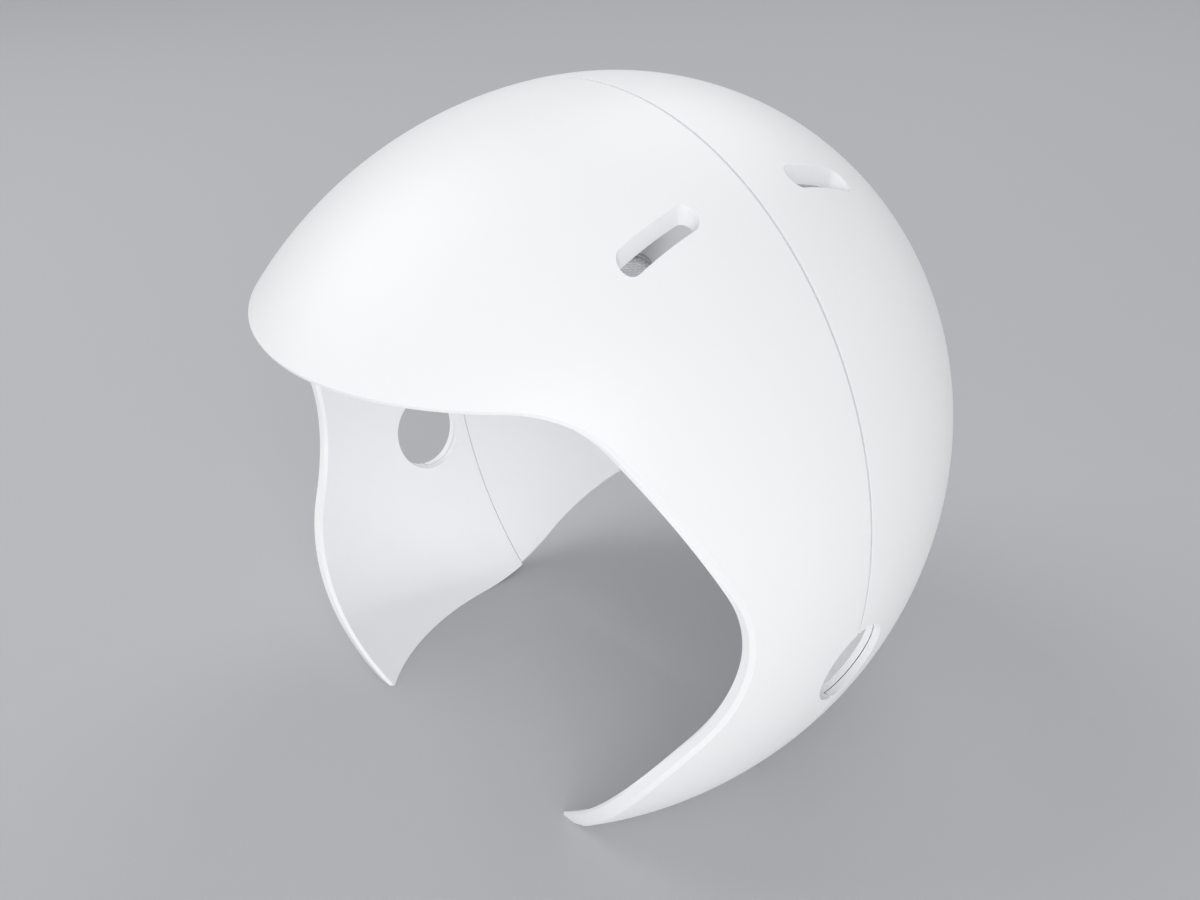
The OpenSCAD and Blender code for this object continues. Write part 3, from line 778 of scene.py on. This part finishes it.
def stitches(name, cushion, pad):
    """A row of stitches sunk in the cushion's face, beside its seam: short capsules
    whose ends dip below the cloth. Where the cloth breaks off, so that a step of the
    track is over twice as long as usual, a stitch is left out."""
    tree = BVHTree.FromObject(cushion, bpy.context.evaluated_depsgraph_get())
    line = pad_ring(pad, STITCH_INSET, SEAM_DEPTH + STITCH_LOW) - STITCH_DROP * pad.out
    line = np.vstack([line, line[:1]])
    along = np.concatenate([[0], np.cumsum(np.linalg.norm(np.diff(line, axis=0), axis=1))])
    count = int(along[-1] // STITCH_PITCH)

    def on_cloth(where):
        """Points of the line at distances along it, dropped on the cloth."""
        feet = np.stack([np.interp(where % along[-1], along, line[:, k]) for k in range(3)], -1)
        spots = [tree.ray_cast(Vector(in_frame(foot)), Vector(pad.out))[0] for foot in feet]
        spots = [(math.nan,) * 3 if spot is None else spot for spot in spots]
        return np.array(spots) / MM - DOME_CENTRE
    middle = (np.arange(count) + 0.5) * along[-1] / count
    shares = np.linspace(-1, 1, STITCH_ROWS)
    longest = 2 * STITCH_LEN / (STITCH_ROWS - 1)
    capsule = capped_faces(STITCH_ROWS, STITCH_SIDES)
    points, faces = [], []
    for track in np.stack([on_cloth(middle + share * STITCH_LEN / 2) for share in shares], 1):
        if not np.linalg.norm(np.diff(track, axis=0), axis=1).max() < longest:
            continue
        faces += [[len(points) * STITCH_SIDES + i for i in face] for face in capsule]
        ways = np.array(square_to(track[-1] - track[0], pad.out))
        for share, spot in zip(shares, track):
            r = STITCH_R * max(STITCH_END, math.sqrt(1 - share ** 4))
            sunk = spot + STITCH_SINK * share ** 4 * pad.out
            points.append(sunk + circle(r, STITCH_SIDES) @ ways)
    return piece_from(name, np.vstack(points), faces)


def add_weave(piece, pad):
    """Texture coordinates in millimetres across and up the pad."""
    flat = flat_on(pad, vertex_points(piece.data))
    corners = read(piece.data.loops, "vertex_index", kind=np.int32)
    layer = piece.data.uv_layers.new(name="weave")
    layer.data.foreach_set("uv", flat[corners].astype(np.float32).ravel())


def join_to(piece, part):
    """Moves a part's mesh into a piece, with the part's material beside its own."""
    with bpy.context.temp_override(active_object=piece, selected_objects=[piece, part],
                                   selected_editable_objects=[piece, part]):
        bpy.ops.object.join()


def paint(piece, material):
    """Gives a whole piece one material."""
    piece.data.materials.clear()
    piece.data.materials.append(material)


def stand_for(piece, node, body):
    """Lets a piece stand for a node, on its body."""
    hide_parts(node)
    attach(piece, body)


def pads(finish):
    """Every pad's foam block and its cushion, the cushions filled together."""
    cushions = {}
    for name, pad in pad_places().items():
        foam = pad_skin(f"{name}_foam_block", pad, FOAM_INSET + FOAM_SHRINK, FOAM_DEPTH,
                        FOAM_DEPTH + FOAM_T, FOAM_ROUND)
        paint(foam, finish["foam"])
        stand_for(foam, f"{name}_foam", pad.body)
        cushion = pad_skin(f"{name}_comfort_pad", pad, CUSHION_INSET, CUSHION_DEPTH + CUSHION_LIFT,
                           PAD_DEPTH - CUSHION_DROP, CUSHION_ROUND, CUSHION_CROWN, CUSHION_DRAW)
        cushions[name] = cushion, pad
    inflate(cushions)
    for name, (cushion, pad) in cushions.items():
        paint(cushion, finish["fabric"])
        cushion.data.shade_smooth()
        add_weave(cushion, pad)
        row = stitches(f"{name}_stitches", cushion, pad)
        for part, use in ((piping(f"{name}_piping", pad), "trim"), (row, "thread")):
            paint(part, finish[use])
            join_to(cushion, part)
        stand_for(cushion, f"{name}_cushion", pad.body)


# Materials

# A grain's slow changes, unless a material gives its own, and the noises' detail
GRAIN, GRAIN_DETAIL = {"Slow": 30.0, "Shift": 0.03, "Spread": 0.08}, {"Fine": 3.0, "Slow": 4.0}
# How far the knit dips beside a column, and its painted shade, darker where the knit is low: by
# height, and at the bottom
KNIT_DIP, KNIT_PAINTED_SHADE = 0.7, (0.30, 0.80)
# A bead's slope, its roundness as a power, and its shade: its own random tone, painted shade that
# darkens it towards its edges by height, and the least
BEAD_SLOPE, BEAD_POWER, BEAD_TONE_AND_PAINTED_SHADE = 4.0, 0.5, (0.08, 0.12, 0.82)
METAL = {"Metallic": 1.0}


def fill(tree, node, inputs):
    """Links each named or numbered input of a node to a socket, or sets its value."""
    for label, value in inputs.items():
        if isinstance(value, bpy.types.NodeSocket):
            tree.links.new(value, node.inputs[label])
        else:
            node.inputs[label].default_value = value


def add(tree, kind, inputs, **settings):
    """A node of a kind, with its settings and inputs."""
    node = tree.nodes.new(kind)
    for label, value in settings.items():
        setattr(node, label, value)
    fill(tree, node, inputs)
    return node


def chain(tree, *steps):
    """Math nodes one after the other. A step is (operation, first, second), where a
    value is a socket, a number, or None for the step before; returns the last output."""
    last = None
    for operation, *values in steps:
        inputs = {i: last if value is None else value for i, value in enumerate(values)}
        last = add(tree, "ShaderNodeMath", inputs, operation=operation).outputs[0]
    return last


def shader_group(name, inputs, outputs):
    """An empty node group, its inputs to link from, and its outputs to link to. What
    isn't a Vector or a Colour is a number."""
    group = bpy.data.node_groups.new(name, "ShaderNodeTree")
    for way, labels in (("INPUT", inputs), ("OUTPUT", outputs)):
        for label in labels.split():
            kind = {"Vector": "Vector", "Colour": "Color"}.get(label, "Float")
            group.interface.new_socket(label, in_out=way, socket_type=f"NodeSocket{kind}")
    start, end = group.nodes.new("NodeGroupInput"), group.nodes.new("NodeGroupOutput")
    return group, start.outputs, end


def give(group, end, colour, shade, **outputs):
    """Hands out a group's colour, scaled by a shade, and its other outputs."""
    tint = add(group, "ShaderNodeVectorMath", {0: colour, "Scale": shade}, operation="SCALE")
    fill(group, end, {"Colour": tint.outputs[0], **outputs})


def grain_group():
    """Moulded or cast grain: a fine noise for height and a slow one that varies the
    colour and the roughness."""
    group, start, end = shader_group("grain", "Vector Fine Slow Colour Shift Roughness Spread",
                                     "Colour Roughness Height")
    fine, slow = (add(group, "ShaderNodeTexNoise", {"Vector": start["Vector"],
                                                    "Scale": start[scale], "Detail": detail})
                  for scale, detail in GRAIN_DETAIL.items())
    centred = chain(group, ("SUBTRACT", slow.outputs["Fac"], 0.5))
    shade = chain(group, ("MULTIPLY_ADD", centred, start["Shift"], 1.0))
    rough = chain(group, ("MULTIPLY_ADD", centred, start["Spread"], start["Roughness"]))
    give(group, end, start["Colour"], shade, Roughness=rough, Height=fine.outputs["Fac"])
    return group


def knit_group():
    """Warp knit in millimetres: the loops of each column lean to and fro like a V.
    tri = 2 |frac(u / wale) - 1/2|, height = (1 + sin 2 pi (v / course + tri / 2)) / 2
    times 1 - KNIT_DIP tri^2."""
    group, start, end = shader_group("knit", "Vector Wale Course Colour", "Colour Height")
    u, v, _ = add(group, "ShaderNodeSeparateXYZ", {0: start["Vector"]}).outputs
    tri = chain(group, ("DIVIDE", u, start["Wale"]), ("FRACT", None),
                ("SUBTRACT", None, 0.5), ("ABSOLUTE", None), ("MULTIPLY", None, 2.0))
    course = chain(group, ("DIVIDE", v, start["Course"]))
    loop = chain(group, ("MULTIPLY", tri, 0.5), ("ADD", None, course),
                 ("MULTIPLY", None, 2 * math.pi), ("SINE", None), ("MULTIPLY_ADD", None, 0.5, 0.5))
    height = chain(group, ("MULTIPLY", tri, tri), ("MULTIPLY_ADD", None, -KNIT_DIP, 1.0),
                   ("MULTIPLY", None, loop))
    # Painted shade: the colour darkens where the knit is low, in its dips
    shade = chain(group, ("MULTIPLY_ADD", height, *KNIT_PAINTED_SHADE))
    give(group, end, start["Colour"], shade, Height=height)
    return group


def bead_group():
    """Moulded foam beads: cells with rounded tops that differ a little in tone, with painted shade
    that darkens each cell towards its edges.
    """
    group, start, end = shader_group("beads", "Vector Scale Colour", "Colour Height")
    place = {label: start[label] for label in ("Vector", "Scale")}
    cells = add(group, "ShaderNodeTexVoronoi", place)
    edges = add(group, "ShaderNodeTexVoronoi", place, feature="DISTANCE_TO_EDGE")
    height = chain(group, ("MULTIPLY", edges.outputs["Distance"], BEAD_SLOPE),
                   ("MINIMUM", None, 1.0), ("POWER", None, BEAD_POWER))
    part = add(group, "ShaderNodeSeparateXYZ", {0: cells.outputs["Color"]})
    own, painted_shade_by_height, least = BEAD_TONE_AND_PAINTED_SHADE
    # Each cell's own random tone, then painted shade, darker where the height is low near the
    # cells' edges
    shade = chain(group, ("MULTIPLY_ADD", part.outputs["X"], own, least),
                  ("MULTIPLY_ADD", height, painted_shade_by_height, None))
    give(group, end, start["Colour"], shade, Height=height)
    return group


def plain(name, colour, roughness):
    """A material with its colour and roughness, its node tree and its shader."""
    material = bpy.data.materials.new(name)
    material.use_nodes = True
    tree = material.node_tree
    shader = tree.nodes["Principled BSDF"]
    fill(tree, shader, {"Base Color": (*colour, 1), "Roughness": roughness})
    return material, tree, shader


def patterned(name, group, colour, roughness, depth, values, surface={},
              coordinates="Object", stretch=(1, 1, 1)):
    """A material whose colour and bump, and with a grain its roughness, come from a
    pattern group: the bump's depth in millimetres, the pattern's values, and what
    else the shader's inputs are set to."""
    material, tree, shader = plain(name, colour, roughness)
    place = add(tree, "ShaderNodeTexCoord", {}).outputs[coordinates]
    mapping = add(tree, "ShaderNodeMapping", {"Vector": place, "Scale": stretch})
    pattern = add(tree, "ShaderNodeGroup", {}, node_tree=group)
    given = {"Vector": mapping.outputs["Vector"], "Colour": (*colour, 1),
             "Roughness": roughness, **GRAIN, **values}
    fill(tree, pattern, {label: given[label] for label in pattern.inputs.keys()})
    made = pattern.outputs
    bump = add(tree, "ShaderNodeBump", {"Height": made["Height"], "Distance": depth * MM,
                                        "Strength": 1.0})
    fill(tree, shader, {"Base Color": made["Colour"], "Normal": bump.outputs["Normal"], **surface})
    if "Roughness" in made.keys():
        fill(tree, shader, {"Roughness": made["Roughness"]})
    return material


def finishes():
    """Every material of the helmet by its use."""
    grain, beads, knit = grain_group(), bead_group(), knit_group()
    return {
        "white": patterned("white_shell", grain, (0.885, 0.893, 0.91), 0.42, 0.02,
                           {"Fine": 1800.0, "Shift": 0.02, "Spread": 0.10}, {"IOR": 1.49}),
        "foam": patterned("bead_foam", beads, (0.84, 0.85, 0.86), 0.75, 0.2, {"Scale": 320.0}),
        "fabric": patterned("knit_lining", knit, (0.68, 0.69, 0.71), 0.85, 0.2,
                            {"Wale": 1.5, "Course": 1.2}, {"Sheen Weight": 0.25}, "UV"),
        "trim": patterned("corded_edge", grain, (0.44, 0.45, 0.47), 0.7, 0.2, {"Fine": 1200.0}),
        "thread": patterned("seam_thread", grain, (0.86, 0.86, 0.86), 0.6, 0.1, {"Fine": 2500.0}),
        "hook": patterned("hook_tape", grain, (0.45, 0.46, 0.48), 0.6, 0.6, {"Fine": 1400.0}),
        "steel": patterned("brushed_steel", grain, (0.72, 0.73, 0.75), 0.34, 0.03,
                           {"Fine": 900.0}, METAL, stretch=(1, 0.04, 1)),
        "black_steel": patterned("blackened_steel", grain, (0.14, 0.14, 0.15), 0.38, 0.02,
                                 {"Fine": 1500.0}, METAL),
        "zinc": patterned("zinc_plating", grain, (0.80, 0.81, 0.82), 0.30, 0.02,
                          {"Fine": 1500.0}, METAL),
        "brass": patterned("turned_brass", grain, (0.72, 0.55, 0.25), 0.3, 0.03,
                           {"Fine": 900.0}, METAL),
    }


# The stage

# Half of the floor's width in metres, and its colour where it is seen and where it
# throws light back
FLOOR_HALF, FLOOR_SEEN, FLOOR_BOUNCE = 4.0, (0.48, 0.49, 0.51), (0.90, 0.90, 0.90)
# Each lamp's name, place, size and power. The last is a weak fill under the dome
LAMPS = (("lamp_front", (1.0, -0.82, 0.66), 0.9, 8.0),
         ("lamp_rear_high", (-0.4, 1.2, 1.3), 1.2, 5.0),
         ("lamp_left", (-1.0, -0.4, 1.2), 1.3, 7.5),
         ("lamp_inside", (0.0, -0.02, 0.006), 0.10, 0.075))
LAMP_AIM, WORLD_STRENGTH = Vector((0, 0, 0.1)), 0.52
# The photograph's camera: azimuth 45 and elevation 30 degrees, from the dome's centre
CAMERA_PLACE = np.array([300.43, -300.84, 244.88])
CAMERA_AIM = np.array([0.0, -0.41, -0.42])
CAMERA_LENS, CAMERA_SENSOR = 41.45, 36.0


def floor_paint():
    """Pale paint: a grey where the camera or a reflection sees it, and a lighter one
    where it throws light back."""
    material, tree, shader = plain("floor_paint", FLOOR_SEEN, 0.9)
    ray = add(tree, "ShaderNodeLightPath", {}).outputs
    seen = chain(tree, ("MAXIMUM", ray["Is Camera Ray"], ray["Is Glossy Ray"]))
    # A Mix node has its two colours in inputs 6 and 7, and their mix in output 2
    mix = add(tree, "ShaderNodeMix", {0: seen, 6: (*FLOOR_BOUNCE, 1), 7: (*FLOOR_SEEN, 1)},
              data_type="RGBA")
    fill(tree, shader, {"Specular IOR Level": 0.1, "Base Color": mix.outputs[2]})
    return material


def turn_to(thing, aim):
    """Turns a lamp or camera to look at a place."""
    thing.rotation_mode = "QUATERNION"
    thing.rotation_quaternion = (Vector(aim) - thing.location).to_track_quat("-Z", "Y")


def studio():
    """Pale floor, even soft light, and the camera at the photograph's angle."""
    scene = bpy.context.scene
    scene.view_settings.view_transform = "Standard"
    mesh = bpy.data.meshes.new("floor")
    corners = FLOOR_HALF * np.array([(-1, -1, 0), (1, -1, 0), (1, 1, 0), (-1, 1, 0)])
    mesh.from_pydata(corners.tolist(), [], [(0, 1, 2, 3)])
    mesh.materials.append(floor_paint())
    add_object("floor", mesh)
    scene.world = bpy.data.worlds.new("studio")
    scene.world.use_nodes = True
    tree = scene.world.node_tree
    fill(tree, tree.nodes["Background"], {"Color": (1, 1, 1, 1), "Strength": WORLD_STRENGTH})
    for name, place, size, power in LAMPS:
        lamp = bpy.data.lights.new(name, "AREA")
        lamp.shape, lamp.size, lamp.energy = "DISK", size, power
        holder = add_object(name, lamp)
        holder.location = place
        turn_to(holder, LAMP_AIM)
    view = bpy.data.cameras.new("camera")
    view.sensor_fit, view.sensor_width, view.lens = "HORIZONTAL", CAMERA_SENSOR, CAMERA_LENS
    scene.camera = add_object("camera", view)
    scene.camera.location = in_frame(CAMERA_PLACE)
    turn_to(scene.camera, in_frame(CAMERA_AIM))


# The helmet

# For edges to be broken evenly: what is flat, which edges are broken, and which
# stay crisp in the shading
FLAT_ANGLE, BROKEN_ANGLE, CRISP_ANGLE = map(math.radians, (0.5, 40, 30))
WELD = 0.001


def dress_node(node, material, edge):
    """Gives a node that keeps its own shape its finish, and breaks its edges in
    millimetres with modifiers, which leave the mesh as it is."""
    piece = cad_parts[node]
    paint(piece, material)
    if edge:
        piece.modifiers.new("weld", "WELD").merge_threshold = WELD * MM
        flats = piece.modifiers.new("flats", "DECIMATE")
        flats.decimate_type, flats.angle_limit = "DISSOLVE", FLAT_ANGLE
        bevel = piece.modifiers.new("edges", "BEVEL")
        bevel.width, bevel.segments, bevel.use_clamp_overlap = edge * MM, 1, True
        bevel.limit_method, bevel.angle_limit = "ANGLE", BROKEN_ANGLE
        split = piece.modifiers.new("split", "EDGE_SPLIT")
        split.split_angle, split.use_edge_sharp = CRISP_ANGLE, False


studio()
finish = finishes()
for body, shell in (("front", front_shell()), ("rear", rear_shell())):
    paint(shell, finish["white"])
    stand_for(shell, f"{body}_shell", body)
pads(finish)
for nodes, use, edge in (("front_hook_discs rear_hook_discs", "hook", 0),
                         ("left_slide_plate right_slide_plate crown_slide_plate", "steel", 0.25),
                         ("plate_screws clamp_screws", "black_steel", 0.15),
                         ("clamp_washers", "zinc", 0.15),
                         ("rear_inserts front_inserts", "brass", 0)):
    for node in nodes.split():
        dress_node(node, finish[use], edge)
